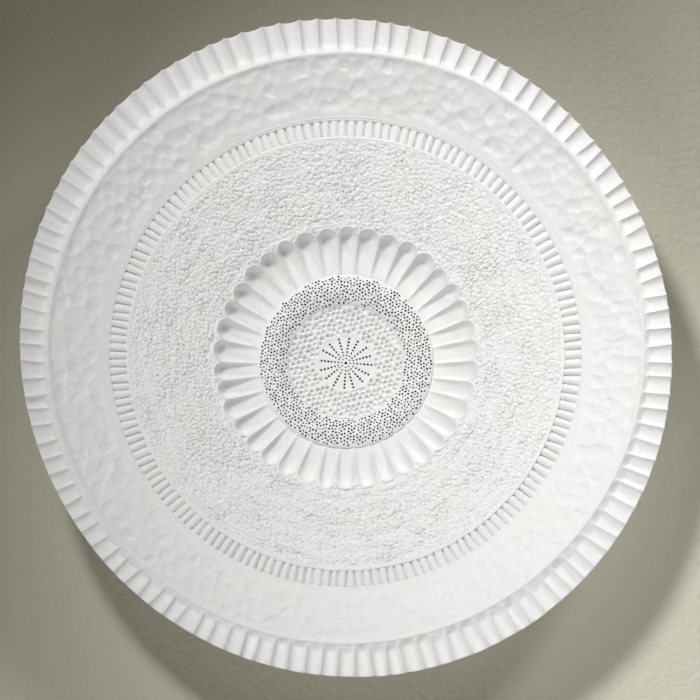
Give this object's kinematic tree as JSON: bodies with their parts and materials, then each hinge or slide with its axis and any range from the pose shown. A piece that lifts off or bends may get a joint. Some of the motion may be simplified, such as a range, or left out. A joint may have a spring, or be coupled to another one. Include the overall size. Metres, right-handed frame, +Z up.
{
  "type": "ceramic relief wall disc",
  "caption": "Round white ceramic wall disc: a shallow dish pressed in rings of relief, with a pricked centre, scooped petals, a grained field, reeds, a hammered slope and a fluted rim.",
  "frame": {"origin": "centre of the flat foot on the disc's back, in the plane of the wall", "axes": "+Z up the wall, +Y into the wall, so the face looks along -Y, and +X to the viewer's right"},
  "size_m": [0.3938, 0.0636, 0.4064],
  "materials": {
    "clay": "matt, unglazed pale clay, hand-pressed and grainy"
  },
  "bodies": {
    "root": {"wall_disc": "clay"}
  },
  "joints": []
}
